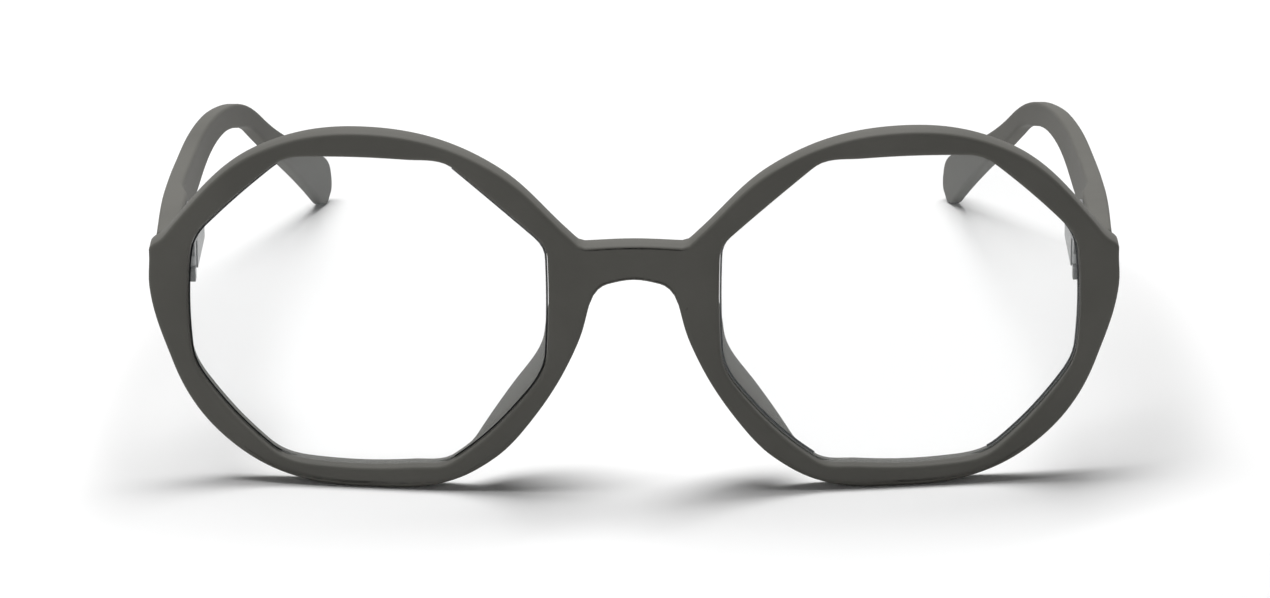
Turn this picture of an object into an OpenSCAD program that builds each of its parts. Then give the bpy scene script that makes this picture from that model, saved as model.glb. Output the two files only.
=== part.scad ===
// Reading glasses: moulded front with bowed eight-sided lens openings, sprung folding temples.
// Standing on the lower rims and the temple tips, front towards -Y, wearer's left at +X.

/* [Lens openings] */
// Width of one lens opening
lens_w = 53.3; // [46:0.1:58]
// Height of one lens opening
lens_h = 48; // [42:0.1:52]
// Distance between the two openings across the nose
bridge_w = 25; // [20:0.1:28]
// Centre thickness of a lens
lens_t = 3; // [2.4:0.1:3.4]
// Radius of the lens front surface
lens_front_r = 130; // [110:1:180]
// Radius of the lens back surface
lens_back_r = 270; // [220:1:400]

/* [Front] */
// Rim above the opening
rim_top = 3.45; // [2.6:0.05:4]
// Rim below the opening
rim_low = 2.95; // [2.3:0.05:4]
// Rim beside the opening at the hinge side
rim_side = 5.35; // [4.8:0.05:6]
// Thickness of the front
front_t = 4; // [3.8:0.1:5]
// Radius of the face form, the bow of the front seen from above
face_r = 300; // [250:5:500]
// Height of the bridge's upper edge over the table
bridge_top = 38.1; // [37:0.1:39.5]
// Height of the bridge at its middle
bridge_h = 5.3; // [4:0.1:6.5]
// Depth of the endpiece, from the front's apex to the face that meets the temple
endpiece_y = 13; // [12.8:0.1:15]

/* [Nose pads] */
// How far the pads reach behind the front's apex
pad_depth = 11.2; // [8:0.1:12]
// Lean of the side that meets the nose
pad_splay = 17; // [8:1:24]
// Lean of the side behind the lens
pad_lean = 7.5; // [4:0.5:9]
// Radius that rounds a pad's back edge
pad_round = 14.5; // [13:0.5:20]

/* [Temples] */
// Distance from the front's apex to the end of the tips
depth = 147; // [130:1:155]
// Inward set of the temple's outer face from the end of the front
temple_set = 0.45; // [0.2:0.05:1]
// Thickness of the temple along its shaft
temple_t = 2.6; // [2.4:0.1:4]
// Thickness of the temple round the hinge
temple_root_t = 4.6; // [4.4:0.1:5.4]
// Temple thickness beside the housing's rear end
temple_tail_t = 3.3; // [3.2:0.1:4.4]
// Height of the temple at the hinge
temple_root_h = 8.9; // [8.6:0.1:11]
// Height of the temple along its shaft
temple_h = 4.4; // [4:0.1:7]
// Distance from the front's apex to the start of the ear bend
bend_y = 98; // [88:1:106]
// Inward set of the tips
tip_in = 17.2; // [10:0.1:20]
// Thickness of the tips at their ends
tip_t = 2; // [1.8:0.1:2.6]

/* [Hinge] */
// Radius of the hinge knuckles
knuckle_r = 1.5; // [1.4:0.05:1.7]
// Height of the hinge plate
plate_h = 6; // [5.6:0.1:6.6]
// Thickness of the hinge plate
plate_t = 0.9; // [0.7:0.05:1.1]
// Width of the hinge plate
plate_w = 5.2; // [5:0.1:5.4]
// Height of the slider's eye between the knuckles
eye_h = 2; // [1.8:0.1:2.2]
// Diameter of the hinge screw
hinge_screw_d = 1.4; // [1.2:0.1:1.6]
// Diameter of the self-tapping screws
fixing_screw_d = 1.4; // [1.2:0.1:1.6]
// Diameter of the screw heads
screw_head_d = 2.3; // [2:0.1:2.4]
// Width of the spring housing
housing_w = 3.2; // [3:0.05:3.4]
// Height of the spring housing
housing_h = 4.2; // [3.8:0.1:5]
// Length of the spring housing
housing_l = 15; // [14:0.5:18]
// Bore of the spring housing
housing_bore = 2.3; // [2:0.05:2.5]
// Diameter of the slider's rod
rod_d = 1; // [0.8:0.05:1.1]
// Wire of the spring
wire_d = 0.3; // [0.2:0.02:0.34]
// Coils of the spring
coils = 9; // [6:1:12]
// Travel of the spring
spring_travel = 1.2; // [0.8:0.1:1.4]

/* [Clearances] */
// Between a lens and its groove
lens_gap = 0.05; // [0.03:0.01:0.1]
// Between the endpiece and the temple's butt face
butt_gap = 0.1; // [0.05:0.01:0.2]
// Round a part that turns or slides
run_gap = 0.05; // [0.03:0.01:0.08]
// Round a part that is set in and stays put
set_gap = 0.02; // [0.01:0.01:0.05]

/* [Hidden] */
$fn = 48;
over = 1;
side_x = bridge_w / 2 + lens_w / 2;
lens_z = rim_low + lens_h / 2;
front_h = rim_low + lens_h + rim_top;
front_x = bridge_w / 2 + lens_w + rim_side;
temple_x = front_x - temple_set;
groove_depth = 0.8;
groove_w = 1;
groove_r = 200;
tongue_d = 0.7;
wrap = asin(side_x / (face_r - front_t / 2));
mid_y = face_r - sqrt(pow(face_r - front_t / 2, 2) - side_x * side_x);

// The lens opening: each edge is [direction, distance, half length, bow, shift] of an eight-sided shape
edges = [
  [89.5, 23.55, 7.7, 3, 1.5],
  [47, 25.15, 6.75, 3, 2.05],
  [0, 25.95, 7, 5, -0.3],
  [-44, 25.35, 6.1, 6, -0.8],
  [-91, 23.5, 6.5, 4.3, -0.5],
  [-133, 25, 6.2, 7, 0.3],
  [180.5, 26.55, 7.2, 2.5, 2.1],
  [130.5, 25.55, 7.6, 1.1, -3.1]
];
edge_w = edges[2][1] + edges[6][1] + 0.8;
edge_h = edges[0][1] + edges[4][1] + 0.95;
opening_nodes = [
  for (e = edges, s = [-1, 1])
    let (out = [cos(e[0]), sin(e[0])], along = [sin(e[0]), -cos(e[0])])
    let (p = out * e[1] + along * (e[4] + s * e[2]))
    [side_x + p.x * lens_w / edge_w, lens_z + p.y * lens_h / edge_h, e[0] - 90 - s * e[3]]
];

// The rim round it: [x, z, heading], x and z in shares of the half width and half height
rim_cx = side_x;
rim_hw = front_x - rim_cx;
rim_hh = front_h / 2;
rim_shape = [
  [-0.611, 0.793, 32.6],
  [0.013, 1, 0],
  [0.48, 0.874, -26.3],
  [0.881, 0.436, -50.6],
  [0.965, 0.328, -30.6],
  [0.998, 0.277, -94],
  [1, 0.075, -96],
  [0.898, -0.344, -110],
  [0.602, -0.812, -143],
  [0.04, -1, 180],
  [-0.08, -1, 180],
  [-0.507, -0.879, 147],
  [-0.712, -0.662, 128],
  [-0.979, -0.117, 110]
];
half_nodes = concat(
  [[0, bridge_top, 0], [7, bridge_top - 0.3, -3], [8, bridge_top - 0.05, 36], [9.7, bridge_top + 1.5, 43]],
  [for (n = rim_shape) [rim_cx + n.x * rim_hw, rim_hh + n.y * rim_hh, n.z]],
  [[6.5, bridge_top - bridge_h - 3.9, 105.6], [3.7, bridge_top - bridge_h - 0.64, 165.6], [0, bridge_top - bridge_h, 180]]
);
mirror_nodes = [for (i = [len(half_nodes) - 2 : -1 : 1]) [-half_nodes[i].x, half_nodes[i].y, -half_nodes[i].z]];

// The pad's nose side, as a line at this distance and direction from the lens centre
pad_dir = 213.5;
pad_edge = lens_w / 2 + 2.55;
pad_foot = lens_w / 2 - 1.35;
pad_foot_y = front_t + 1.2;
pad_mid = -3.5;
pad_y0 = front_t - 0.1;

// The hinge, on the +X side
hinge_x = front_x - rim_side + 0.27;
hinge_y = endpiece_y + knuckle_r + 0.1;
hinge_z = lens_z + 4.85;
butt_y = endpiece_y + butt_gap;
relief_r = knuckle_r + 0.3;
boss_in = 3;
boss_low = 1.8;
boss_high = 1.6;
plate_x = hinge_x - knuckle_r;
plate_y = endpiece_y - plate_t;
plate_screw_x = hinge_x + knuckle_r + 0.95;
head_t = 0.5;
pin_head_t = 0.6;
ear_h = (plate_h - eye_h) / 2 - run_gap;
housing_y = hinge_y + knuckle_r + 0.45;
guide_l = spring_travel + 2.3;
bore_y = housing_y + guide_l;
tongue_w = 1.8;
tail_l = 4.6;
tail_t = 0.8;
fixing_screw_l = 2;
tail_y = housing_y + housing_l;
stop_t = 1;
stop_y = tail_y - 2.6;
spring_gap = 0.08;
spring_d = (housing_bore + rod_d) / 2;
spring_l = stop_y - bore_y - 2 * spring_gap;
housing_in = hinge_x + housing_w / 2;

// The temple on the +X side: nodes [y, z, heading] of its side view
shaft_top = 36.3;
shaft_mid = 46;
tip_z = 8;
bend_z = 30.85;
side_nodes = [
  [butt_y - over, shaft_top + 0.06, -3.5],
  [butt_y + shaft_mid, shaft_top - 3.2, -4],
  [bend_y, bend_z, -10],
  [bend_y + 15, bend_z - 6.15, -34],
  [depth - 4, tip_z + 0.9, -28],
  [depth - 0.5, tip_z - 2.6, -75],
  [depth - 0.4, 1.6, -120],
  [depth - 2.4, 0, 180],
  [depth - 6.3, 2, 143],
  [bend_y + 12, bend_z - temple_h - 3.6, 145],
  [bend_y + 3, bend_z - temple_h - 0.25, 163],
  [butt_y + shaft_mid, shaft_top - 4.8 - temple_h, 178],
  [butt_y + 12, shaft_top - temple_root_h, 180],
  [butt_y - over, shaft_top - temple_root_h, 180]
];
// How far inside temple_x the outer face lies along the temple
arm_in = [-0.4, 0.1, 2.1, 4.4, 7.8];
// Outer face seen from above: [x, y, heading]
outer_nodes = [
  [temple_x - 0.2, butt_y - over, 89],
  [temple_x - arm_in[0], 42, 90],
  [temple_x - arm_in[1], 68, 92.5],
  [temple_x - arm_in[2], 89, 98],
  [temple_x - arm_in[3], 100, 103],
  [temple_x - arm_in[4], bend_y + 15, 105.5],
  [temple_x - tip_in - temple_t + tip_t, depth + over, 106]
];
// Inner face: the same, set in by the thickness
inner_nodes = [
  [temple_x - tip_in - temple_t, depth + over, 286],
  [temple_x - arm_in[4] - temple_t + 0.3, bend_y + 15, 285.5],
  [temple_x - arm_in[3] - temple_t + 0.1, 100, 283],
  [temple_x - arm_in[2] - temple_t + 0.1, 89, 278],
  [temple_x - arm_in[1] - temple_t, 68, 272.5],
  [temple_x - arm_in[0] - temple_t, tail_y + tail_l + 9, 270],
  [temple_x - temple_tail_t, tail_y + tail_l + 1, 270],
  [temple_x - temple_tail_t, tail_y - 4, 270],
  [temple_x - temple_root_t, butt_y + 6, 270],
  [temple_x - temple_root_t, butt_y - over, 270]
];

rubber_grey = [0.27, 0.28, 0.25];
steel = [0.74, 0.74, 0.73];
bright = [0.82, 0.82, 0.81];
clear = [0.86, 0.93, 0.95, 0.35];

// Points of one smooth stretch from node p to node q
function stretch(p, q) =
  let (
    a = [p.x, p.y],
    d = [q.x, q.y],
    reach = 0.36 * norm(d - a),
    b = a + reach * [cos(p.z), sin(p.z)],
    c = d - reach * [cos(q.z), sin(q.z)],
    turn = abs((q.z - p.z + 540) % 360 - 180),
    n = max(1, ceil(turn / 5), turn < 0.5 ? 1 : 3)
  )
  [for (i = [0 : n - 1]) let (t = i / n, s = 1 - t) s * s * s * a + 3 * s * s * t * b + 3 * s * t * t * c + t * t * t * d];

function closed(nodes) = [for (i = [0 : len(nodes) - 1]) each stretch(nodes[i], nodes[(i + 1) % len(nodes)])];

function grown(nodes, g) = [for (n = nodes) [n.x - g * sin(n.z), n.y + g * cos(n.z), n.z]];

// A drawing in X and Z pushed along Y
module through(y0, y1) {
  translate([0, y1, 0]) rotate([90, 0, 0]) linear_extrude(y1 - y0) children();
}

module both_sides() {
  children();
  mirror([1, 0, 0]) children();
}

// Puts the origin under the middle of the part
module seat() {
  translate([0, -depth / 2, 0]) children();
}

module on_side(s) {
  seat() if (s > 0) children(); else mirror([1, 0, 0]) children();
}

module outline_2d() {
  polygon(closed(concat(half_nodes, mirror_nodes)));
}

module opening_2d(g = 0) {
  polygon(closed(grown(opening_nodes, g)));
}

module lens_place() {
  translate([side_x, mid_y, lens_z]) rotate([0, 0, wrap]) children();
}

// The layer that the lens's edge tongue lies in
module groove_layer(gap) {
  lens_place() difference() {
    translate([0, groove_r - 1.1 - groove_w / 2 - gap, 0]) sphere(groove_r, $fn = 200);
    translate([0, groove_r - 1.1 + groove_w / 2 + gap, 0]) sphere(groove_r, $fn = 200);
  }
}

module face_form(y1) {
  intersection() {
    through(-over, y1) outline_2d();
    translate([0, face_r, -over]) cylinder(h = front_h + 2 * over, r = face_r, $fn = 360);
  }
}

// Turns a drawing about the lens centre, so that +X points at the middle of the pad
module pad_turn() {
  translate([side_x, 0, lens_z]) rotate([0, -pad_dir, 0]) children();
}

module pad_unturn() {
  rotate([0, pad_dir, 0]) translate([-side_x, 0, -lens_z]) children();
}

// A pad grows out of the back of the lower rim beside the nose, and leans away from the nose
module nose_pad() {
  difference() {
    intersection() {
      through(pad_y0, pad_depth + over) outline_2d();
      pad_turn() translate([pad_edge, front_t, 0]) rotate([0, 0, pad_splay]) translate([-side_x, -front_t, -side_x])
        cube([side_x, 2 * pad_depth, 2 * side_x]);
      pad_turn() translate([lens_w / 2, pad_depth - pad_round, pad_mid]) sphere(pad_round, $fn = 96);
    }
    pad_turn() translate([pad_foot, pad_foot_y, 0]) rotate([0, 0, pad_lean]) translate([-pad_foot, -pad_foot_y, 0])
      pad_unturn() through(-front_t, 2 * pad_depth) opening_2d();
  }
}

module front_frame() {
  color(rubber_grey) seat() difference() {
    union() {
      difference() {
        face_form(endpiece_y);
        difference() {
          translate([0, face_r, -2 * over]) cylinder(h = front_h + 4 * over, r = face_r - front_t, $fn = 360);
          both_sides() translate([hinge_x - boss_in, 0, hinge_z - plate_h / 2 - boss_low])
            cube([boss_in + 2 * rim_side, 2 * endpiece_y, plate_h + boss_low + boss_high]);
        }
        both_sides() {
          through(-over, 2 * endpiece_y) opening_2d();
          intersection() {
            through(-over, 2 * endpiece_y) opening_2d(groove_depth);
            groove_layer(lens_gap);
          }
        }
      }
      both_sides() nose_pad();
    }
    both_sides() {
      translate([hinge_x - 4, plate_y - set_gap, hinge_z - plate_h / 2 - set_gap])
        cube([4 + plate_w - knuckle_r + set_gap, endpiece_y, plate_h + 2 * set_gap]);
      translate([plate_screw_x, plate_y + over, hinge_z]) rotate([90, 0, 0])
        cylinder(h = 3 + over, d = fixing_screw_d + 2 * set_gap);
    }
  }
}

module lens(s) {
  color(clear) on_side(s) union() {
    intersection() {
      through(-over, 2 * endpiece_y) opening_2d(-lens_gap);
      lens_place() difference() {
        translate([0, lens_front_r - lens_t + 0.15, 0]) sphere(lens_front_r, $fn = 200);
        translate([0, lens_back_r + 0.15, 0]) sphere(lens_back_r, $fn = 240);
      }
    }
    intersection() {
      through(-over, 2 * endpiece_y) difference() {
        opening_2d(groove_depth - lens_gap);
        opening_2d(-tongue_d);
      }
      groove_layer(0);
    }
  }
}

// The upright screw axis, with its origin at the middle of the hinge
module at_hinge() {
  translate([hinge_x, hinge_y, hinge_z]) children();
}

module ear(bore) {
  difference() {
    union() {
      cylinder(h = ear_h, r = knuckle_r);
      translate([-knuckle_r, endpiece_y - hinge_y - plate_t / 2, 0])
        cube([2 * knuckle_r, hinge_y - endpiece_y + plate_t / 2, ear_h]);
    }
    translate([0, 0, -over]) cylinder(h = ear_h + 2 * over, d = bore);
  }
}

// The plate set into the endpiece, with the two fixed knuckles
module hinge_plate(s) {
  color(steel) on_side(s) difference() {
    union() {
      translate([plate_x, plate_y, hinge_z]) rotate([-90, 0, 0]) linear_extrude(plate_t)
        polygon([[0, -plate_h / 2], [plate_w, -plate_h / 2], [plate_w, plate_h / 2], [1.3, plate_h / 2], [0, plate_h / 2 - 1.8]]);
      at_hinge() translate([0, 0, plate_h / 2 - ear_h]) ear(hinge_screw_d + 2 * run_gap);
      at_hinge() translate([0, 0, -plate_h / 2]) ear(hinge_screw_d + 2 * set_gap);
    }
    translate([plate_x - over, plate_y - over, hinge_z - eye_h / 2 - run_gap])
      cube([knuckle_r + over, plate_t + 2 * over, eye_h + 2 * run_gap]);
    translate([plate_screw_x, plate_y - over, hinge_z]) rotate([-90, 0, 0])
      cylinder(h = plate_t + 2 * over, d = fixing_screw_d + 2 * set_gap);
    translate([plate_screw_x, endpiece_y - head_t, hinge_z]) rotate([-90, 0, 0])
      cylinder(h = head_t + over, d = screw_head_d + 2 * set_gap);
  }
}

// Head at the top, shank downwards along Z, with a driver slot
module screw(l, d, head, head_h) {
  difference() {
    union() {
      translate([0, 0, -head_h]) cylinder(h = head_h, d = head);
      translate([0, 0, -head_h - l]) cylinder(h = l + head_h / 2, d = d);
    }
    translate([-head, -0.15, -head_h / 2]) cube([2 * head, 0.3, head_h]);
  }
}

module plate_screw(s) {
  color(bright) on_side(s) translate([plate_screw_x, endpiece_y, hinge_z]) rotate([-90, 0, 0])
    screw(plate_t - head_t + 2.8, fixing_screw_d, screw_head_d, head_t);
}

module hinge_screw(s) {
  color(bright) on_side(s) at_hinge() translate([0, 0, plate_h / 2 + set_gap + pin_head_t])
    screw(plate_h + set_gap, hinge_screw_d, screw_head_d, pin_head_t);
}

// Rod along +Y from the eye, with the guide block in front and the stop behind
module slider(s) {
  color(steel) on_side(s) at_hinge() difference() {
    union() {
      translate([0, 0, -eye_h / 2]) cylinder(h = eye_h, r = knuckle_r);
      translate([-tongue_w / 2, 0, -eye_h / 2]) cube([tongue_w, bore_y - 0.2 - hinge_y, eye_h]);
      rotate([-90, 0, 0]) cylinder(h = stop_y + stop_t + 0.4 - hinge_y, d = rod_d);
    }
    translate([0, 0, -eye_h]) cylinder(h = 2 * eye_h, d = hinge_screw_d + 2 * run_gap);
  }
}

module slider_stop(s) {
  color(bright) on_side(s) translate([hinge_x, stop_y, hinge_z]) rotate([-90, 0, 0]) difference() {
    cylinder(h = stop_t, d = housing_bore - 2 * run_gap);
    translate([0, 0, -over]) cylinder(h = stop_t + 2 * over, d = rod_d + 2 * set_gap);
  }
}

// A coil spring round the rod: rings of a tube joined into one wire
module spring(s) {
  sides = 6;
  rings = 8 * coils;
  points = [
    for (i = [0 : rings])
      let (turn = 360 * coils * i / rings, rise = wire_d / 2 + (spring_l - wire_d) * i / rings)
      for (k = [0 : sides - 1])
        let (r = spring_d / 2 + wire_d / 2 * cos(360 * k / sides))
        [r * cos(turn), r * sin(turn), rise + wire_d / 2 * sin(360 * k / sides)]
  ];
  walls = [
    for (i = [0 : rings - 1], k = [0 : sides - 1])
      let (a = i * sides + k, b = i * sides + (k + 1) % sides)
      each [[a, b, b + sides], [a, b + sides, a + sides]]
  ];
  ends = [[for (k = [sides - 1 : -1 : 0]) k], [for (k = [0 : sides - 1]) rings * sides + k]];
  color(steel) on_side(s) translate([hinge_x, bore_y + spring_gap, hinge_z]) rotate([-90, 0, 0])
    polyhedron(points, concat(walls, ends));
}

// The box on the inside of the temple, with a tail for its screw
module spring_housing(s) {
  color(steel) on_side(s) translate([hinge_x, housing_y, hinge_z]) difference() {
    union() {
      translate([-housing_w / 2, 0, -housing_h / 2]) cube([housing_w, housing_l, housing_h]);
      translate([housing_w / 2 - tail_t, housing_l - over, -housing_h / 2]) cube([tail_t, tail_l + over, housing_h]);
    }
    translate([-tongue_w / 2 - run_gap, -over, -eye_h / 2 - run_gap])
      cube([tongue_w + 2 * run_gap, guide_l + 2 * over, eye_h + 2 * run_gap]);
    translate([0, guide_l, 0]) rotate([-90, 0, 0]) cylinder(h = housing_l - guide_l - 0.8, d = housing_bore);
    translate([housing_w / 2 - tail_t - over, housing_l + tail_l / 2, 0]) rotate([0, 90, 0])
      cylinder(h = tail_t + 2 * over, d = fixing_screw_d + 2 * set_gap);
  }
}

module housing_screw(s) {
  color(bright) on_side(s) translate([housing_in - tail_t - head_t, tail_y + tail_l / 2, hinge_z]) rotate([0, -90, 0])
    screw(tail_t + fixing_screw_l, fixing_screw_d, screw_head_d, head_t);
}

module temple(s) {
  color(rubber_grey) on_side(s) difference() {
    intersection() {
      rotate([90, 0, 90]) linear_extrude(2 * front_x) polygon(closed(side_nodes));
      translate([0, 0, -over]) linear_extrude(front_h) polygon(closed(concat(outer_nodes, inner_nodes)));
      translate([0, butt_y, -over]) cube([2 * front_x, 2 * depth, front_h + 2 * over]);
    }
    at_hinge() translate([0, 0, -front_h]) cylinder(h = 2 * front_h, r = relief_r);
    at_hinge() translate([-2 * relief_r, -2 * relief_r, -front_h])
      cube([3 * relief_r, 2 * relief_r, 2 * front_h]);
    translate([hinge_x - housing_w / 2 - over, hinge_y, hinge_z - housing_h / 2 - set_gap])
      cube([housing_w + over + set_gap, tail_y + tail_l + set_gap - hinge_y, housing_h + 2 * set_gap]);
    translate([housing_in - over, tail_y + tail_l / 2, hinge_z]) rotate([0, 90, 0])
      cylinder(h = over + fixing_screw_l + 0.2, d = fixing_screw_d + 2 * set_gap);
  }
}

front_frame();
lens(1);  // lens_left
lens(-1);  // lens_right
temple(1);  // temple_left
temple(-1);  // temple_right
hinge_plate(1);  // hinge_plate_left
hinge_plate(-1);  // hinge_plate_right
plate_screw(1);  // plate_screw_left
plate_screw(-1);  // plate_screw_right
hinge_screw(1);  // hinge_screw_left
hinge_screw(-1);  // hinge_screw_right
slider(1);  // slider_left
slider(-1);  // slider_right
slider_stop(1);  // slider_stop_left
slider_stop(-1);  // slider_stop_right
spring(1);  // spring_left
spring(-1);  // spring_right
spring_housing(1);  // spring_housing_left
spring_housing(-1);  // spring_housing_right
housing_screw(1);  // housing_screw_left
housing_screw(-1);  // housing_screw_right
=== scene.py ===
import math
import bpy
import bmesh
from mathutils import Matrix, Vector


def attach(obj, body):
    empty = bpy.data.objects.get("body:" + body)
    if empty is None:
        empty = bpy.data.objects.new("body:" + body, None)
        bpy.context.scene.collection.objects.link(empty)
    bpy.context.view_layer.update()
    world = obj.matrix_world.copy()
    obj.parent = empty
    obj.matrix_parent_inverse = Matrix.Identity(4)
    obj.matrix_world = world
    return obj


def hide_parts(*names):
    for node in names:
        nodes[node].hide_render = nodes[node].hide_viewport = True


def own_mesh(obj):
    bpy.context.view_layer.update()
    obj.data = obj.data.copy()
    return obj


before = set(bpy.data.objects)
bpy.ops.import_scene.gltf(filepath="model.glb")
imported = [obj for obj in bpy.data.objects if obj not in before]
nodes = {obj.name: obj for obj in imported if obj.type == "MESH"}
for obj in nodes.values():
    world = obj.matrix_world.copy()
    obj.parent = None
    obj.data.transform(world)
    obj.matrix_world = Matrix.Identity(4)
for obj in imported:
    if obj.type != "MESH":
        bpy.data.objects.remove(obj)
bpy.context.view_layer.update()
mm = 0.001
sides = {"left": 1, "right": -1}          # the wearer's sides, and their sign in x
print("frame loaded:", len(nodes), "nodes")

# sizes that the pieces share, in mm: x from the middle, y back from the foremost point, z up from the table
seatY = 73.5                              # the part's middle lies this far behind the foremost point
sideX, lensZ = 39.15, 26.95               # centre of the left lens opening
lensCentre = Vector((sideX, lensZ))
faceR, frontT = 300, 4                    # radius of the front's bow, and its thickness
hinge = Vector((66.07, 14.6, 31.8))       # the left hinge's pin
curveStep = 0.3                           # between the points of a curve
headingPull = 0.36                        # how far a node's heading carries, as a share of the stretch
foldAngle = 50                            # degrees past which an edge is a corner to round
smoothAngle = 35                          # degrees past which an edge is shaded sharp


def unitAt(angle):
    return Vector((math.cos(angle), math.sin(angle)))


# the points of one smooth stretch between two nodes, each [x, z, heading in degrees]
def stretch(a, b):
    p, q = Vector(a[:2]), Vector(b[:2])
    reach = headingPull * (q - p).length
    c0 = p + reach * unitAt(math.radians(a[2]))
    c1 = q - reach * unitAt(math.radians(b[2]))
    count = max(2, round((q - p).length / curveStep))
    points = []
    for i in range(count):
        t = i / count
        u = 1 - t
        points.append(p * u ** 3 + c0 * 3 * t * u ** 2 + c1 * 3 * t * t * u + q * t ** 3)
    return points


def curveThrough(nodeList, closed=False):
    ends = nodeList[1:] + (nodeList[:1] if closed else [])
    points = []
    for a, b in zip(nodeList, ends):
        points += stretch(a, b)
    if not closed:
        points.append(Vector(nodeList[-1][:2]))
    return points


# the lens opening: each edge is [direction, distance, half length, bow, shift] from the opening's centre
openingEdges = [
    [89.5, 23.55, 7.7, 3, 1.5], [47, 25.15, 6.75, 3, 2.05], [0, 25.95, 7, 5, -0.3],
    [-44, 25.35, 6.1, 6, -0.8], [-91, 23.5, 6.5, 4.3, -0.5], [-133, 25, 6.2, 7, 0.3],
    [180.5, 26.55, 7.2, 2.5, 2.1], [130.5, 25.55, 7.6, 1.1, -3.1],
]


def openingCurve(grow=0):
    nodeList = []
    for direction, distance, half, bow, shift in openingEdges:
        out = unitAt(math.radians(direction))
        along = Vector((out.y, -out.x))
        for s in (-1, 1):
            p = out * (distance + grow) + along * (shift + s * half)
            nodeList.append([sideX + p.x, lensZ + p.y, direction - 90 - s * bow])
    return curveThrough(nodeList, closed=True)


# one half's outer outline: the bridge's top, round the rim, and back along the bridge's underside
rimHalf = (32, 27.2)                      # half the rim's width and height; the rim's foot is at z 0
rimShape = [
    [-0.611, 0.793, 32.6], [0.013, 1, 0], [0.48, 0.874, -26.3], [0.881, 0.436, -50.6], [0.965, 0.328, -30.6],
    [0.998, 0.277, -94], [1, 0.075, -96], [0.898, -0.344, -110], [0.602, -0.812, -143], [0.04, -1, 180],
    [-0.08, -1, 180], [-0.507, -0.879, 147], [-0.712, -0.662, 128], [-0.979, -0.117, 110],
]
bridgeTop = [[0, 38.1, 0], [7, 37.8, -3], [8, 38.05, 36]]
bridgeShoulder = [9.7, 39.6, 43]
bridgeLow = [[6.5, 28.9, 105.6], [3.7, 32.16, 165.6], [0, 32.8, 180]]
# the bridge grows from the rim to the middle in these steps: x at its underside and at its top
bridgeRungs = [(5.9, 7.1), (5.2, 6.4), (4.5, 5.6), (3.8, 4.8), (3.0, 3.8), (2.0, 2.6), (1.0, 1.3), (0, 0)]
rimNodes = [[sideX + x * rimHalf[0], rimHalf[1] + z * rimHalf[1], heading] for x, z, heading in rimShape]
openingPoints = openingCurve()
rimPoints = curveThrough([bridgeTop[2], bridgeShoulder] + rimNodes + [bridgeLow[0]])


# the distance from the opening's centre at which a ray meets a curve
def alongRay(points, angle, loop=False):
    d = unitAt(angle)
    best = 0
    for p, q in zip(points, points[1:] + (points[:1] if loop else [])):
        a, b = p - lensCentre, q - lensCentre
        ca, cb = d.x * a.y - d.y * a.x, d.x * b.y - d.y * b.x
        if ca * cb <= 0 and ca != cb:
            t = ca / (ca - cb)
            best = max(best, (a.lerp(b, t)).dot(d))
    return best


# a curve's second value where its first value is x
def heightAt(points, x):
    for p, q in zip(points, points[1:]):
        if (p.x - x) * (q.x - x) <= 0 and p.x != q.x:
            return p.y + (q.y - p.y) * (x - p.x) / (q.x - p.x)
    return points[-1].y


def rayPoint(r, angle):
    a = math.radians(angle)
    return sideX + r * math.cos(a), 0, lensZ + r * math.sin(a)


# degrees round the opening's centre, for a point in the outline's plane or in space
def angleOf(co):
    return math.degrees(math.atan2(co[-1] - lensZ, co[0] - sideX)) % 360


def frontY(x):
    return faceR - math.sqrt(faceR ** 2 - x * x)


def backY(x):
    return faceR - math.sqrt((faceR - frontT) ** 2 - x * x)


def toFrame(v):
    return Vector((v[0], v[1] - seatY, v[2])) * mm


# 0 at start, 1 at end and straight between them; end may be the smaller of the two
def ramp(value, start, end):
    return min(1, max(0, (value - start) / (end - start)))


def smooth(share):
    return share * share * (3 - 2 * share)


def vertsOf(geom):
    return [g for g in geom if isinstance(g, bmesh.types.BMVert)]


def isFold(edge, limit=foldAngle):
    return len(edge.link_faces) == 2 and edge.calc_face_angle(0) > math.radians(limit)


def roundEdges(bm, edges, radius, segments):
    made = bmesh.ops.bevel(bm, geom=edges, offset=radius * mm, offset_type="OFFSET", affect="EDGES",
                           segments=segments, profile=0.5, material=-1, clamp_overlap=False)
    return made["faces"]


def meshFrom(name, bm):
    mesh = bpy.data.meshes.new(name)
    bm.to_mesh(mesh)
    bm.free()
    return mesh


def objectOf(name, data):
    obj = bpy.data.objects.new(name, data)
    bpy.context.scene.collection.objects.link(obj)
    return obj


def newPiece(name, bm, body, material):
    bmesh.ops.recalc_face_normals(bm, faces=bm.faces)
    mesh = meshFrom(name, bm)
    for face in mesh.polygons:
        face.use_smooth = True
    mesh.set_sharp_from_angle(angle=math.radians(smoothAngle))
    obj = objectOf(name, mesh)
    obj.data.materials.append(material)
    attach(obj, body)
    return obj


# takes the cutters' shapes out of a piece, and removes them
def cutWith(obj, cutters):
    for cutter in cutters:
        mod = obj.modifiers.new("cut", "BOOLEAN")
        mod.operation, mod.solver, mod.object = "DIFFERENCE", "EXACT", cutter
    graph = bpy.context.evaluated_depsgraph_get()
    cutMesh = bpy.data.meshes.new_from_object(obj.evaluated_get(graph), depsgraph=graph)
    obj.modifiers.clear()
    wholeMesh = obj.data
    obj.data = cutMesh
    bpy.data.meshes.remove(wholeMesh)
    for cutter in cutters:
        bpy.data.objects.remove(cutter)


def cutterFrom(bm):
    for v in bm.verts:
        v.co = toFrame(v.co)
    return objectOf("cutter", meshFrom("cutter", bm))


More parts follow.
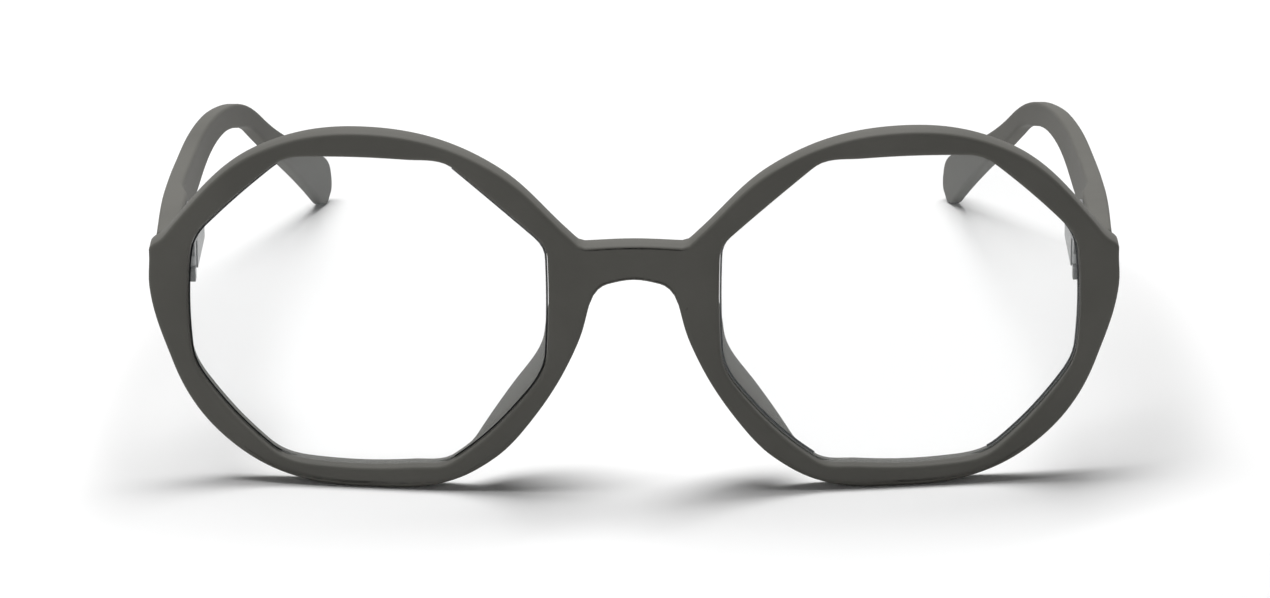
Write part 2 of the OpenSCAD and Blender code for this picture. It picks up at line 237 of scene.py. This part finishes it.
# a box between two values each way, on the wearer's left (side 1) or mirrored (side -1)
def boxCutter(side, x, y, z):
    xs = sorted((x[0] * side, x[1] * side))
    low, high = Vector((xs[0], y[0], z[0])), Vector((xs[1], y[1], z[1]))
    bm = bmesh.new()
    bmesh.ops.create_cube(bm, size=1)
    bmesh.ops.scale(bm, vec=high - low, verts=bm.verts)
    bmesh.ops.translate(bm, vec=(high + low) / 2, verts=bm.verts)
    return cutterFrom(bm)


def roundCutter(middle, radius, length):
    bm = bmesh.new()
    bmesh.ops.create_cone(bm, cap_ends=True, segments=48, radius1=radius, radius2=radius, depth=length)
    bmesh.ops.translate(bm, vec=middle, verts=bm.verts)
    return cutterFrom(bm)


def hexColor(code):
    def linear(c):
        c /= 255
        return c / 12.92 if c <= 0.04045 else ((c + 0.055) / 1.055) ** 2.4
    return tuple(linear(int(code[i:i + 2], 16)) for i in (0, 2, 4)) + (1,)


def addNode(tree, kind, settings=None, inputs=None):
    node = tree.nodes.new(kind)
    for key, value in (settings or {}).items():
        setattr(node, key, value)
    for key, value in (inputs or {}).items():
        if isinstance(value, bpy.types.NodeSocket):
            tree.links.new(value, node.inputs[key])
        else:
            node.inputs[key].default_value = value
    return node


def newMaterial(name):
    material = bpy.data.materials.new(name)
    material.use_nodes = True
    tree = material.node_tree
    return material, tree, tree.nodes["Principled BSDF"]


# nylon, injection moulded, with a sprayed soft-touch coat: a dry, even, dark grey that hardly shines
# the coat's tooth is finer than the render can show, so it is drawn 0.22 mm wide
softTouch = {
    "dark": "4D4C47", "light": "55544F", "cloudMm": 16, "cloudRange": (0.35, 0.65), "roughness": (0.61, 0.7),
    "ior": 1.42, "toothMm": 0.22, "toothDepthMm": 0.008, "toothStrength": 0.6,
}


def softTouchPlastic():
    s = softTouch
    material, tree, bsdf = newMaterial("softTouchCoatedNylon_moulded")
    place = addNode(tree, "ShaderNodeTexCoord").outputs["Object"]
    cloud = addNode(tree, "ShaderNodeTexNoise", None, {"Vector": place, "Scale": 1000 / s["cloudMm"], "Detail": 3})
    tint = addNode(tree, "ShaderNodeValToRGB", None, {"Fac": cloud.outputs["Fac"]})
    for stop, code, position in zip(tint.color_ramp.elements, (s["dark"], s["light"]), s["cloudRange"]):
        stop.color, stop.position = hexColor(code), position
    tree.links.new(tint.outputs["Color"], bsdf.inputs["Base Color"])
    tooth = addNode(tree, "ShaderNodeTexNoise", None, {"Vector": place, "Scale": 1000 / s["toothMm"], "Detail": 2})
    bump = addNode(tree, "ShaderNodeBump", None, {
        "Height": tooth.outputs["Fac"], "Distance": s["toothDepthMm"] * mm, "Strength": s["toothStrength"]})
    tree.links.new(bump.outputs["Normal"], bsdf.inputs["Normal"])
    rough = addNode(tree, "ShaderNodeMapRange", None, {
        "Value": cloud.outputs["Fac"], "To Min": s["roughness"][0], "To Max": s["roughness"][1]})
    tree.links.new(rough.outputs["Result"], bsdf.inputs["Roughness"])
    bsdf.inputs["IOR"].default_value = s["ior"]
    return material


# lens resin, cast and given a thin hard coat: nearly invisible face on, with a weak clean reflection;
# the ground corner at the back carries painted shade, a dull dark line for the shade in the groove; wiping leaves
# faint patches about 11 mm wide
lensLook = {
    "hardCoatedResin_cast": {"tint": "EEF4F6", "alpha": 0.06, "roughness": (0.03, 0.06)},
    # painted shade: near-black and nearly opaque, for the shade along the groove behind the lens
    "hardCoatedResin_paintedGrooveShade": {"tint": "14181C", "alpha": 0.95, "roughness": (0.35, 0.38)},
}
lensIor, wipeMm = 1.5, 11


def lensResin(name):
    s = lensLook[name]
    material, tree, bsdf = newMaterial(name)
    place = addNode(tree, "ShaderNodeTexCoord").outputs["Object"]
    wipe = addNode(tree, "ShaderNodeTexNoise", None, {"Vector": place, "Scale": 1000 / wipeMm, "Detail": 2})
    rough = addNode(tree, "ShaderNodeMapRange", None, {
        "Value": wipe.outputs["Fac"], "To Min": s["roughness"][0], "To Max": s["roughness"][1]})
    tree.links.new(rough.outputs["Result"], bsdf.inputs["Roughness"])
    bsdf.inputs["Base Color"].default_value = hexColor(s["tint"])
    bsdf.inputs["Alpha"].default_value = s["alpha"]
    bsdf.inputs["IOR"].default_value = lensIor
    return material


# nickel silver, stamped: a satin grey; spring steel, drawn: a darker sheen; steel, turned: a bright clean screw
# the tools' marks are finer than the render can show, so they are drawn about 0.1 mm wide
metalLook = {
    "stampedNickelSilver": {"color": "858686", "roughness": (0.3, 0.46), "grainMm": 0.12, "stretch": (1, 1, 6)},
    "drawnSpringSteel": {"color": "9C9C9A", "roughness": (0.26, 0.42), "grainMm": 0.1, "stretch": (1, 6, 1)},
    "turnedSteelScrew": {"color": "D5D4D0", "roughness": (0.16, 0.32), "grainMm": 0.1, "stretch": (1, 1, 1)},
}
grainLength, grainDepthMm, grainStrength = 6, 0.004, 0.5      # a mark is six times as long as it is wide


def metal(name):
    s = metalLook[name]
    material, tree, bsdf = newMaterial(name)
    coord = addNode(tree, "ShaderNodeTexCoord")
    place = addNode(tree, "ShaderNodeMapping", None, {"Vector": coord.outputs["Object"], "Scale": s["stretch"]})
    grain = addNode(tree, "ShaderNodeTexNoise", None, {
        "Vector": place.outputs["Vector"], "Scale": 1000 / s["grainMm"] / grainLength, "Detail": 3})
    rough = addNode(tree, "ShaderNodeMapRange", None, {
        "Value": grain.outputs["Fac"], "To Min": s["roughness"][0], "To Max": s["roughness"][1]})
    tree.links.new(rough.outputs["Result"], bsdf.inputs["Roughness"])
    bump = addNode(tree, "ShaderNodeBump", None, {
        "Height": grain.outputs["Fac"], "Distance": grainDepthMm * mm, "Strength": grainStrength})
    tree.links.new(bump.outputs["Normal"], bsdf.inputs["Normal"])
    bsdf.inputs["Base Color"].default_value = hexColor(s["color"])
    bsdf.inputs["Metallic"].default_value = 1
    return material


plastic = softTouchPlastic()
lensClear, lensGrooveShade = [lensResin(name) for name in lensLook]
metals = {name: metal(name) for name in metalLook}
nodeMetal = {
    "hinge_plate": "stampedNickelSilver", "spring_housing": "stampedNickelSilver", "slider": "stampedNickelSilver",
    "spring": "drawnSpringSteel", "slider_stop": "turnedSteelScrew", "plate_screw": "turnedSteelScrew",
    "hinge_screw": "turnedSteelScrew", "housing_screw": "turnedSteelScrew",
}
for nodeName, obj in nodes.items():
    stem = nodeName.rsplit("_", 1)[0]
    look = metals[nodeMetal[stem]] if stem in nodeMetal else lensClear if stem == "lens" else plastic
    obj.data.materials.clear()
    obj.data.materials.append(look)
print("materials made")

# the front, in mm and degrees; directions are round the opening's centre
front = {
    "rayStep": 2.0, "fineStep": 0.8, "fineRanges": ((9, 21), (153, 163)), "rayApart": 0.7, "rimCuts": 3,
    "bridgeReach": 12,                                             # counts as the rim's width towards the bridge
    "bossY": 13, "bossX": 55, "bossRamp": (-4, -0.5, 19, 23),      # the endpiece's back, and where its slopes lie
    "padTop": 37, "padDir": 213.5, "padEdge": 29.2, "padAlong": 26.65, "padFrom": 15, "padMid": -4.2,
    "padDepth": 11.5, "padRound": 15.5, "padRoot": 0.7, "padSplay": 17, "padLean": 7.5, "padFootY": 5.2,
    "wallShare": 0.02, "grooveWidth": 1, "grooveDepth": 0.8, "grooveSlant": 0.1, "grooveFrom": (0.4, 0.55),
    "grooveRadius": 200, "grooveOffset": -1.1,
    "frontEdge": 0.5, "footEdge": 1.15, "footRange": (2, 9), "openingBand": 1.2, "backEdge": 0.2, "edgeSegments": 3,
    "frontLayer": 0.5, "backLayers": (3.4, 20),                    # how far behind the face an edge to round lies
}
lensTurn = math.asin(sideX / (faceR - frontT / 2))
lensY = faceR - math.sqrt((faceR - frontT / 2) ** 2 - sideX ** 2)
onMiddle, mergeDist = 1e-4, 2e-6          # mm, and metres


# the depth of a round lens surface whose middle lies offset behind the lens plane; four rounds settle it
def lensSurfaceY(x, z, radius, offset):
    y = 0
    for _ in range(4):
        xl = (x - sideX + y * math.sin(lensTurn)) / math.cos(lensTurn)
        y = offset + radius - math.sqrt(radius ** 2 - xl ** 2 - (z - lensZ) ** 2)
    return lensY + xl * math.sin(lensTurn) + y * math.cos(lensTurn)


# 0 at the opening's edge, 1 at the rim's outer edge
def shareAcross(x, z):
    a = math.atan2(z - lensZ, x - sideX)
    inner = alongRay(openingPoints, a, loop=True)
    outer = alongRay(rimPoints, a) or inner + front["bridgeReach"]
    return min(1, max(0, (math.hypot(x - sideX, z - lensZ) - inner) / max(0.1, outer - inner)))


# where a point of the back goes: out to the nose pad's round, leaning with the pad's two sides
def padShape(x, z):
    s = front
    a = math.radians(s["padDir"])
    u = (x - sideX) * math.cos(a) + (z - lensZ) * math.sin(a)
    t = -(x - sideX) * math.sin(a) + (z - lensZ) * math.cos(a)
    y = backY(x)
    ball = s["padRound"] ** 2 - (t - s["padMid"]) ** 2 - (u - s["padAlong"]) ** 2
    if ball <= 0 or u < s["padFrom"]:
        return x, y, z
    out = s["padDepth"] - s["padRound"] + math.sqrt(ball)
    out = y + s["padRoot"] * math.log1p(math.exp((out - y) / s["padRoot"]))      # a soft hollow at the pad's root
    inner = math.tan(math.radians(s["padLean"])) * max(0, out - s["padFootY"])
    outer = max(0, math.tan(math.radians(s["padSplay"])) * (out - frontT) - (s["padEdge"] - u))
    lean = inner + (outer - inner) * shareAcross(x, z)
    return x - lean * math.cos(a), out, z - lean * math.sin(a)


# the endpiece stands out behind the rim to meet the temple
def bossDepth(x, z):
    y = backY(x)
    if x <= front["bossX"]:
        return y
    a = math.degrees(math.atan2(z - lensZ, x - sideX))
    r = front["bossRamp"]
    return y + (front["bossY"] - y) * smooth(ramp(a, r[0], r[1]) * ramp(a, r[3], r[2]))


def rayAngles(extra):
    s = front
    angles, a = [], 0.0
    while a < 360:
        if all(abs(a - e) > s["rayApart"] for e in extra):
            angles.append(round(a, 2))
        a += s["fineStep"] if any(low < a < high for low, high in s["fineRanges"]) else s["rayStep"]
    return sorted(angles + extra)


# the left half's face, flat: the opening's edge, the rim out from it, and the bridge to the middle
def buildFrontHalf():
    top, low = Vector(bridgeTop[2][:2]), Vector(bridgeLow[0][:2])
    topAngle, lowAngle = angleOf(top), angleOf(low)
    angles = rayAngles([topAngle, lowAngle])
    bm = bmesh.new()
    inner = [bm.verts.new(rayPoint(alongRay(openingPoints, math.radians(a), loop=True), a)) for a in angles]
    edges = [bm.edges.new((inner[i - 1], inner[i])) for i in range(len(inner))]
    root = []
    for v in vertsOf(bmesh.ops.extrude_edge_only(bm, edges=edges)["geom"]):
        a = angleOf(v.co)
        near = min(angles, key=lambda b: min(abs(a - b), 360 - abs(a - b)))
        if topAngle <= near <= lowAngle:                           # where the bridge grows from the rim
            p = top.lerp(low, (near - topAngle) / (lowAngle - topAngle))
            v.co = (p.x, 0, p.y)
            root.append(v)
        else:
            v.co = rayPoint(alongRay(rimPoints, math.radians(near)), near)
    across = [e for e in bm.edges if (e.verts[0] in inner) != (e.verts[1] in inner)]
    column = sorted(root, key=lambda v: v.co.z)
    spread = [(v.co.z - low.y) / (top.y - low.y) for v in column]
    topCurve, lowCurve = curveThrough(bridgeTop), curveThrough(bridgeLow)
    for lowX, topX in bridgeRungs:
        lowHeight, topHeight = heightAt(lowCurve, lowX), heightAt(topCurve, topX)
        rung = [e for e in bm.edges if e.verts[0] in column and e.verts[1] in column]
        column = sorted(vertsOf(bmesh.ops.extrude_edge_only(bm, edges=rung)["geom"]), key=lambda v: v.co.z)
        for v, f in zip(column, spread):
            v.co = (lowX + (topX - lowX) * f, 0, lowHeight + (topHeight - lowHeight) * f)
    bmesh.ops.subdivide_edges(bm, edges=across, cuts=front["rimCuts"], use_grid_fill=True)
    return bm


# the groove that the lens sits in, cut as rows along the opening's wall; it fades where the wall runs level
def cutGroove(bm, back, flat):
    s = front
    walls = [e for e in bm.edges if (e.verts[0] in back) != (e.verts[1] in back)
             and all(shareAcross(flat[v].x, flat[v].z) < s["wallShare"] for v in e.verts)]
    feet = {}
    for e in walls:
        v = e.verts[1] if e.verts[0] in back else e.verts[0]
        feet[round(angleOf(flat[v]), 2)] = v.co.copy()
    half = s["grooveWidth"] / 2
    corners = ((-half, 0), (s["grooveSlant"] - half, 1), (half - s["grooveSlant"], 1), (half, 0))
    made = bmesh.ops.subdivide_edges(bm, edges=walls, cuts=len(corners), use_grid_fill=True)
    rows = {}
    for v in vertsOf(made["geom_inner"]):
        near = min(feet, key=lambda a: (feet[a].x - v.co.x) ** 2 + (feet[a].z - v.co.z) ** 2)
        rows.setdefault(near, []).append(v)
    for near, row in rows.items():
        foot = feet[near]
        out = Vector((foot.x - sideX, 0, foot.z - lensZ)).normalized()
        out *= s["grooveDepth"] * ramp(abs(out.x), *s["grooveFrom"])
        middle = lensSurfaceY(foot.x, foot.z, s["grooveRadius"], s["grooveOffset"])
        for v, (dy, deep) in zip(sorted(row, key=lambda v: v.co.y), corners):
            v.co = Vector((foot.x, middle + dy, foot.z)) + out * deep


# both halves, in the frame's metres, with square edges
def buildFront():
    bm = buildFrontHalf()
    back = set(vertsOf(bmesh.ops.extrude_face_region(bm, geom=list(bm.faces))["geom"]))
    flat = {v: v.co.copy() for v in bm.verts}
    for v in bm.verts:
        x, z = v.co.x, v.co.z
        if v not in back:
            v.co.y = frontY(x)
        elif x < sideX and z < front["padTop"]:
            v.co = padShape(x, z)
        else:
            v.co.y = bossDepth(x, z)
    middle = [f for f in bm.faces if all(abs(v.co.x) < onMiddle for v in f.verts)]
    bmesh.ops.delete(bm, geom=middle, context="FACES")
    cutGroove(bm, back, flat)
    for v in bm.verts:
        v.co = toFrame(v.co)
    bmesh.ops.recalc_face_normals(bm, faces=bm.faces)
    half = list(bm.verts) + list(bm.edges) + list(bm.faces)
    bmesh.ops.mirror(bm, geom=half, axis="X", merge_dist=mergeDist)
    bmesh.ops.remove_doubles(bm, verts=bm.verts, dist=mergeDist)
    bmesh.ops.recalc_face_normals(bm, faces=bm.faces)
    return bm


def middleOf(edge):
    return (edge.verts[0].co + edge.verts[1].co) / 2


# how far an edge lies behind the front's face
def layerOf(edge):
    mid = middleOf(edge)
    return (mid.y / mm + seatY) - frontY(abs(mid.x / mm))


# the radius of a front edge: a rim's outer edge is rounder where it meets the table
def edgeSize(edge):
    s = front
    mid = middleOf(edge) / mm
    x, z = abs(mid.x) - sideX, mid.z - lensZ
    if math.hypot(x, z) < s["openingBand"] + alongRay(openingPoints, math.atan2(z, x), loop=True):
        return s["frontEdge"]
    low, high = s["footRange"]
    return s["frontEdge"] + smooth(ramp(mid.z, high, low)) * (s["footEdge"] - s["frontEdge"])


# the front edges by a weighted bevel, so that their radius can change along them, then the back edges
def roundFront(bm):
    s = front
    weight = bm.edges.layers.float.new("bevel_weight_edge")
    for edge in bm.edges:
        if isFold(edge) and layerOf(edge) < s["frontLayer"]:
            edge[weight] = edgeSize(edge) / s["footEdge"]
    rough = objectOf("roughFront", meshFrom("roughFront", bm))
    rounding = rough.modifiers.new("rounding", "BEVEL")
    rounding.width, rounding.segments, rounding.profile = s["footEdge"] * mm, s["edgeSegments"], 0.5
    rounding.limit_method, rounding.use_clamp_overlap = "WEIGHT", False
    bm = bmesh.new()
    bm.from_object(rough, bpy.context.evaluated_depsgraph_get())
    roughMesh = rough.data
    bpy.data.objects.remove(rough)
    bpy.data.meshes.remove(roughMesh)
    bm.normal_update()
    low, high = s["backLayers"]
    roundEdges(bm, [e for e in bm.edges if isFold(e) and low < layerOf(e) < high], s["backEdge"], s["edgeSegments"])
    return bm


# room for the hinge in the endpiece and in the temple, from the pin
hingeCuts = {
    "recessIn": 4, "recessOut": 3.72, "recessY": (12.08, 17), "recessHalf": 3.02,
    "relief": 1.8, "reliefHeight": 40, "cornerDeep": 3, "cornerZ": (10, 50),
    "pocketIn": 2.6, "pocketOut": 1.62, "pocketEnd": 36.17, "pocketHalf": 2.12,
}


def hingeRecess(side):
    c = hingeCuts
    return boxCutter(side, (hinge.x - c["recessIn"], hinge.x + c["recessOut"]), c["recessY"],
                     (hinge.z - c["recessHalf"], hinge.z + c["recessHalf"]))


frontObj = newPiece("frontMoulding", roundFront(buildFront()), "front", plastic)
cutWith(frontObj, [hingeRecess(sign) for sign in sides.values()])
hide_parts("front_frame")
print("front made:", len(frontObj.data.polygons), "faces")

# the lenses, in mm; rings are shares of the way out from the middle
lens = {
    "gap": 0.08, "rayStep": 2, "rings": (0.93, 0.82, 0.68, 0.52, 0.36, 0.2, 0.001),
    "frontRadius": 130, "frontOffset": -2.85, "backRadius": 270, "backOffset": 0.15,
    "edgeBevel": 0.3, "edgeSegments": 2, "shadeLineFrom": 0.5,
}


# a ring in the shape of the opening, drawn in to the middle, given its thickness and bowed
def buildLens(side, sign):
    s = lens
    opening = openingCurve(-s["gap"])
    angles = range(0, 360, s["rayStep"])
    bm = bmesh.new()
    ring = [bm.verts.new(rayPoint(alongRay(opening, math.radians(a), loop=True), a)) for a in angles]
    edges = [bm.edges.new((ring[i - 1], ring[i])) for i in range(len(ring))]
    centre = Matrix.Translation((-sideX, 0, -lensZ))
    last = 1
    for share in s["rings"]:
        made = bmesh.ops.extrude_edge_only(bm, edges=edges)["geom"]
        fresh = vertsOf(made)
        edges = [g for g in made if isinstance(g, bmesh.types.BMEdge) and all(v in fresh for v in g.verts)]
        bmesh.ops.scale(bm, vec=(share / last,) * 3, verts=fresh, space=centre)
        last = share
    bmesh.ops.pointmerge(bm, verts=fresh, merge_co=(sideX, 0, lensZ))
    back = set(vertsOf(bmesh.ops.extrude_face_region(bm, geom=list(bm.faces))["geom"]))
    for v in bm.verts:
        face = "back" if v in back else "front"
        v.co.y = lensSurfaceY(v.co.x, v.co.z, s[face + "Radius"], s[face + "Offset"])
        v.co = toFrame((v.co.x * sign, v.co.y, v.co.z))
    bmesh.ops.recalc_face_normals(bm, faces=bm.faces)
    bm.normal_update()
    corners = roundEdges(bm, [e for e in bm.edges if isFold(e)], s["edgeBevel"], s["edgeSegments"])
    bm.normal_update()
    for f in corners:                                              # the ground corner at the back gets painted shade, a dark line
        at = f.calc_center_median() / mm
        x, z = abs(at.x) - sideX, at.z - lensZ
        f.material_index = 1 if f.normal.y > 0.1 and abs(x / math.hypot(x, z)) > s["shadeLineFrom"] else 0
    obj = newPiece("lensBlank_" + side, bm, "front", lensClear)
    obj.data.materials.append(lensGrooveShade)
    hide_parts("lens_" + side)


for side, sign in sides.items():
    buildLens(side, sign)
print("lenses made")

# the temples, in mm; over flareRange the inner face's lower edge stands in towards the head
temple = {
    "buttY": 13.1, "longEdge": 0.5, "buttEdge": 0.3, "edgeSegments": 4, "edgeAngle": 40,
    "flare": 0.55, "flareRange": (24, 42, 88, 108), "stations": (30, 22, 10, 18, 9), "sideCuts": 3,
}
# side view: the upper edge from the hinge to the tip, and the lower edge beside it, run by run, [y, z, heading]
upperRuns = [
    [[13.1, 36.3, -3.5], [59.1, 33.1, -4]], [[59.1, 33.1, -4], [98, 30.85, -10]],
    [[98, 30.85, -10], [113, 24.7, -34]], [[113, 24.7, -34], [143, 8.9, -28]],
    [[143, 8.9, -28], [146.5, 5.4, -75], [146.6, 1.6, -120]],
]
lowerRuns = [
    [[59.1, 27.1, 178], [25.1, 27.4, 180], [13.1, 27.4, 180]], [[101, 26.2, 163], [59.1, 27.1, 178]],
    [[110, 22.85, 145], [101, 26.2, 163]], [[140.7, 2, 143], [110, 22.85, 145]],
    [[144.6, 0, 180], [140.7, 2, 143]],
]
# seen from above: the outer face and the inner face, [x, y, heading]
outerFace = [
    [70.2, 12.1, 88], [71.1, 42, 90], [70.6, 68, 92.5], [68.6, 89, 98], [66.3, 100, 103], [62.9, 113, 105.5],
    [52.9, 148, 106],
]
innerFace = [
    [50.9, 148, 286], [60.6, 113, 285.5], [64, 100, 283], [66.1, 89, 278], [68, 68, 272.5], [68.5, 45.15, 270],
    [67.4, 37.15, 270], [67.4, 27.55, 270], [66.1, 19.1, 270], [66.1, 12.1, 270],
]


# a curve's points again, at count equal steps
def evenly(points, count):
    steps = [0]
    for a, b in zip(points, points[1:]):
        steps.append(steps[-1] + (b - a).length)
    out, k = [], 0
    for i in range(count + 1):
        want = steps[-1] * i / count
        while k < len(steps) - 2 and steps[k + 1] < want:
            k += 1
        f = (want - steps[k]) / max(1e-9, steps[k + 1] - steps[k])
        out.append(points[k].lerp(points[k + 1], min(1, f)))
    return out


def rowOf(runs, backwards):
    row = []
    for run, count in zip(runs, temple["stations"]):
        points = curveThrough(run)
        if backwards:
            points.reverse()
        row += evenly(points, count)[(1 if row else 0):]
    return row


# how far the inner face stands in at its lower edge
def flareAt(y):
    r = temple["flareRange"]
    return temple["flare"] * smooth(ramp(y, r[0], r[1]) * ramp(y, r[3], r[2]))


# a strip between the two edges of the side view, given its thickness between the two faces seen from above
def buildTemple(side, sign):
    s, c = temple, hingeCuts
    upper, lower = rowOf(upperRuns, False), rowOf(lowerRuns, True)
    outerX, innerX = [[Vector((p.y, p.x)) for p in curveThrough(face)] for face in (outerFace, innerFace)]
    bm = bmesh.new()
    tops = [bm.verts.new((0, p.x, p.y)) for p in upper]
    edges = [bm.edges.new(pair) for pair in zip(tops, tops[1:])]
    lows = vertsOf(bmesh.ops.extrude_edge_only(bm, edges=edges)["geom"])
    for v in lows:
        i = min(range(len(upper)), key=lambda k: (upper[k] - Vector((v.co.y, v.co.z))).length)
        v.co = (1, lower[i].x, lower[i].y)                         # x holds the share of the way down
    across = [e for e in bm.edges if (e.verts[0] in lows) != (e.verts[1] in lows)]
    bmesh.ops.subdivide_edges(bm, edges=across, cuts=s["sideCuts"], use_grid_fill=True)
    inside = set(vertsOf(bmesh.ops.extrude_face_region(bm, geom=list(bm.faces))["geom"]))
    for v in bm.verts:
        y = v.co.y
        x = heightAt(innerX, y) - flareAt(y) * v.co.x ** 2 if v in inside else heightAt(outerX, y)
        v.co = toFrame((x * sign, y, v.co.z))
    bmesh.ops.recalc_face_normals(bm, faces=bm.faces)
    buttY = toFrame((0, s["buttY"], 0)).y
    for isButt, radius in ((False, s["longEdge"]), (True, s["buttEdge"])):
        bm.normal_update()
        folds = [e for e in bm.edges if isFold(e, s["edgeAngle"])
                 and all(abs(v.co.y - buttY) < 1e-5 for v in e.verts) == isButt]
        roundEdges(bm, folds, radius, s["edgeSegments"])
    obj = newPiece("templeArm_" + side, bm, "temple_" + side, plastic)
    relief = roundCutter((hinge.x * sign, hinge.y, hinge.z), c["relief"], c["reliefHeight"])
    corner = boxCutter(sign, (hinge.x - 2 * c["relief"], hinge.x + c["relief"]),
                       (hinge.y - c["cornerDeep"], hinge.y), c["cornerZ"])
    pocket = boxCutter(sign, (hinge.x - c["pocketIn"], hinge.x + c["pocketOut"]), (hinge.y, c["pocketEnd"]),
                       (hinge.z - c["pocketHalf"], hinge.z + c["pocketHalf"]))
    cutWith(obj, [relief, corner, pocket])
    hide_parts("temple_" + side)


for side, sign in sides.items():
    buildTemple(side, sign)
print("temples made")

# each coil gets a mesh of its own
for side in sides:
    coil = nodes["spring_" + side]
    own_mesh(coil)

# a painted table top, sprayed matt: an even white that takes soft shadows and shows no gloss
table = {"color": "F7F7F7", "roughness": 0.9, "half": 6}
tableMaterial, tableTree, tableBsdf = newMaterial("paintedTable_matt")
tableBsdf.inputs["Base Color"].default_value = hexColor(table["color"])
tableBsdf.inputs["Roughness"].default_value = table["roughness"]
bm = bmesh.new()
bmesh.ops.create_grid(bm, x_segments=1, y_segments=1, size=table["half"])
floor = objectOf("floor", meshFrom("floor", bm))
floor.data.materials.append(tableMaterial)

# the world is white to the camera and in reflections, and adds hardly any light of its own
worldLook = {"color": "FFFFFF", "light": 0.05, "seen": 1}
world = bpy.data.worlds.new("studio")
bpy.context.scene.world = world
world.use_nodes = True
tree = world.node_tree
background = tree.nodes["Background"]
path = addNode(tree, "ShaderNodeLightPath").outputs
larger = {"operation": "MAXIMUM"}
seen = addNode(tree, "ShaderNodeMath", larger, {0: path["Is Camera Ray"], 1: path["Is Transmission Ray"]})
seen = addNode(tree, "ShaderNodeMath", larger, {0: seen.outputs[0], 1: path["Is Glossy Ray"]})
strength = addNode(tree, "ShaderNodeMapRange", None, {
    "Value": seen.outputs[0], "To Min": worldLook["light"], "To Max": worldLook["seen"]})
tree.links.new(strength.outputs["Result"], background.inputs["Strength"])
background.inputs["Color"].default_value = hexColor(worldLook["color"])

# lamps, in metres and watts, all turned to the middle of the table
lamps = {
    "overhead": {"place": (-0.1, 0.13, 1.0), "size": (1.05, 0.42), "power": 13.3},
    "lowFront": {"place": (-0.3, -1.2, 0.55), "size": (0.9, 0.4), "power": 1},
}
for name, s in lamps.items():
    data = bpy.data.lights.new(name, "AREA")
    data.shape, data.energy = "RECTANGLE", s["power"]
    data.size, data.size_y = s["size"]
    lamp = objectOf(name, data)
    lamp.location = s["place"]
    lamp.rotation_euler = (-Vector(s["place"])).to_track_quat("-Z", "Y").to_euler()

# the photograph's view: place in metres, turn in degrees, sensor and focal length in mm
view = {
    "place": (0.004, -0.9770, 0.3236), "turn": (72, 0.2, 0.187), "sensor": 36, "focal": 185.25, "shiftX": 0.0008,
    "clip": (0.05, 20),
}
cameraData = bpy.data.cameras.new("camera")
cameraData.sensor_width, cameraData.lens, cameraData.shift_x = view["sensor"], view["focal"], view["shiftX"]
cameraData.clip_start, cameraData.clip_end = view["clip"]
camera = objectOf("camera", cameraData)
camera.location = view["place"]
camera.rotation_euler = [math.radians(a) for a in view["turn"]]
bpy.context.scene.camera = camera
bpy.context.scene.view_settings.view_transform = "Standard"
print("table, lamps and camera placed")
